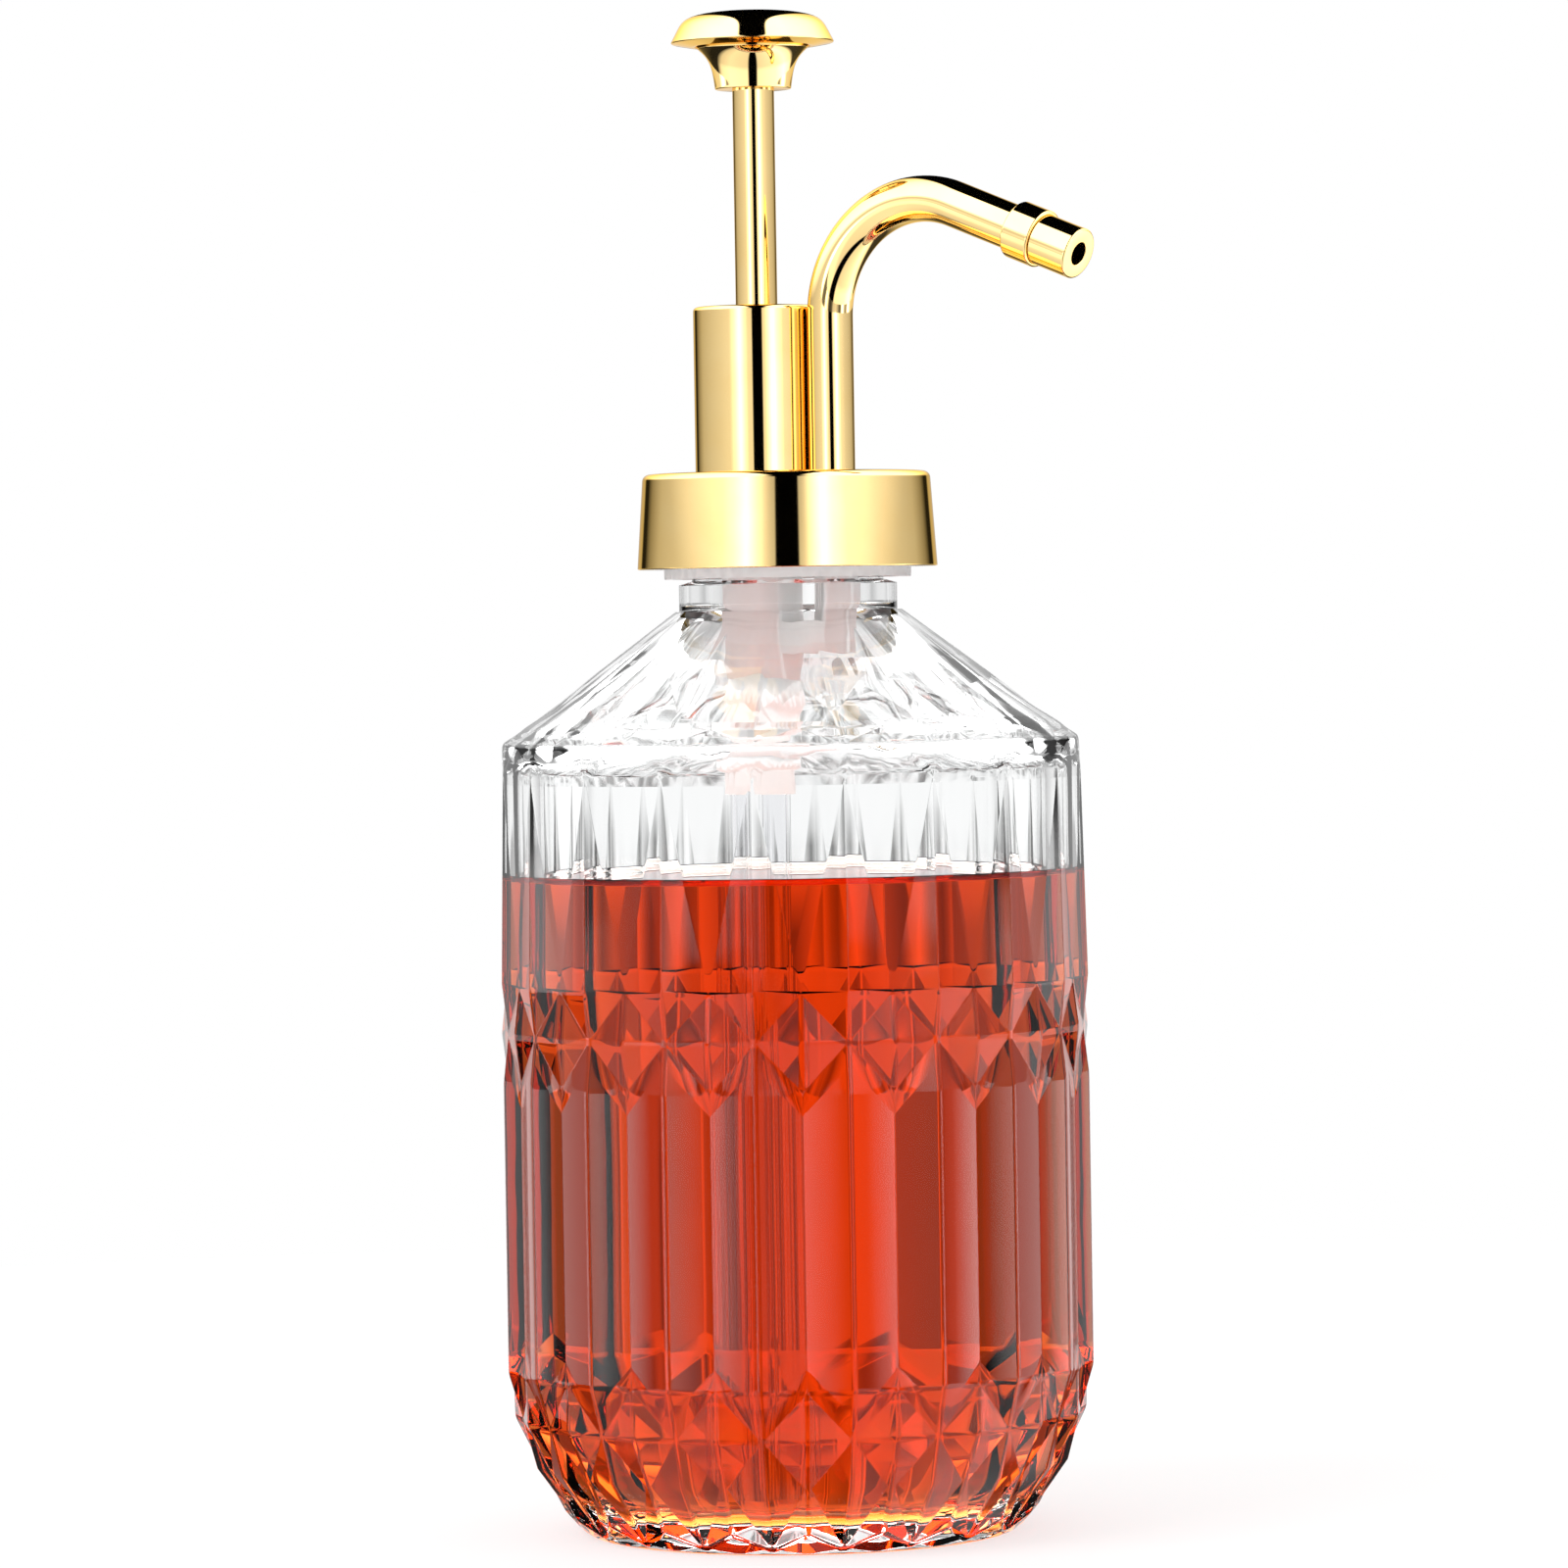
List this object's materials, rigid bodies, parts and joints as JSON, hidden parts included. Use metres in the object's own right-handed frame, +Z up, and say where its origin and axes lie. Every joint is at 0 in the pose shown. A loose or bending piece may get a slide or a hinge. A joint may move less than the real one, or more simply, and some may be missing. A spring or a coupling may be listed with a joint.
{
  "type": "syrup dispenser",
  "caption": "Cut-glass syrup bottle with a screw-on push pump: a sprung mushroom knob on a rod, a fixed gooseneck spout and a dip tube in the syrup.",
  "frame": {"origin": "centre of the bottle's flat foot, on the surface it stands on", "axes": "+Z up along the bottle's axis, +X the way the spout points, the pump's rod 4.3 mm to the -X side of the bottle's axis"},
  "size_m": [0.0858, 0.0772, 0.2002],
  "materials": {
    "glass": "clear pressed glass, fire-polished",
    "syrup": "clear orange-red liquid",
    "gold": "polished gold plate on metal",
    "white_plastic": "moulded natural white polypropylene",
    "tube_plastic": "extruded translucent polyethylene",
    "seal": "food-grade silicone",
    "steel": "bright stainless steel"
  },
  "bodies": {
    "bottle": {"bottle": "glass", "syrup": "syrup"},
    "pump_head": {"neck_gasket": "seal", "pump_body": "white_plastic", "top_plate": "gold", "tower_sleeve": "gold", "stem_guide": "white_plastic", "stem_wiper": "seal", "valve_housing": "white_plastic", "outlet_seat": "white_plastic", "outlet_stop": "white_plastic", "dip_tube": "tube_plastic", "spout_tube": "gold", "spout_washer": "seal", "spout_adapter": "white_plastic", "nozzle_ring": "gold", "nozzle_tip": "gold"},
    "collar": {"collar_shell": "gold", "collar_liner": "white_plastic"},
    "plunger": {"plunger_rod": "gold", "piston": "white_plastic", "piston_ring": "seal", "return_spring": "steel", "knob_hub": "gold", "knob_cap": "gold"},
    "inlet_ball": {"inlet_ball": "steel"},
    "outlet_ball": {"outlet_ball": "steel"}
  },
  "joints": [
    {"name": "pump_rise", "type": "slide", "parent": "bottle", "child": "pump_head", "axis": [0, 0, 1], "range_m": [0, 0.0064]},
    {"name": "collar_turn", "type": "hinge", "parent": "pump_head", "child": "collar", "pos_m": [0, 0, 0.13], "axis": [0, 0, 1], "range_deg": [0, 540]},
    {"name": "pump_press", "type": "slide", "parent": "pump_head", "child": "plunger", "axis": [0, 0, -1], "range_m": [0, 0.025], "stiffness_N_per_m": 250, "springref_m": -0.012, "deforming": ["return_spring"]},
    {"name": "inlet_valve", "type": "slide", "parent": "pump_head", "child": "inlet_ball", "axis": [0, 0, 1], "range_m": [0, 0.001]},
    {"name": "outlet_valve", "type": "slide", "parent": "pump_head", "child": "outlet_ball", "axis": [0, 0, 1], "range_m": [0, 0.0009]}
  ],
  "couplings": [
    {"joint": "pump_rise", "follows": "collar_turn", "m_per_rad": 0.0006737}
  ]
}
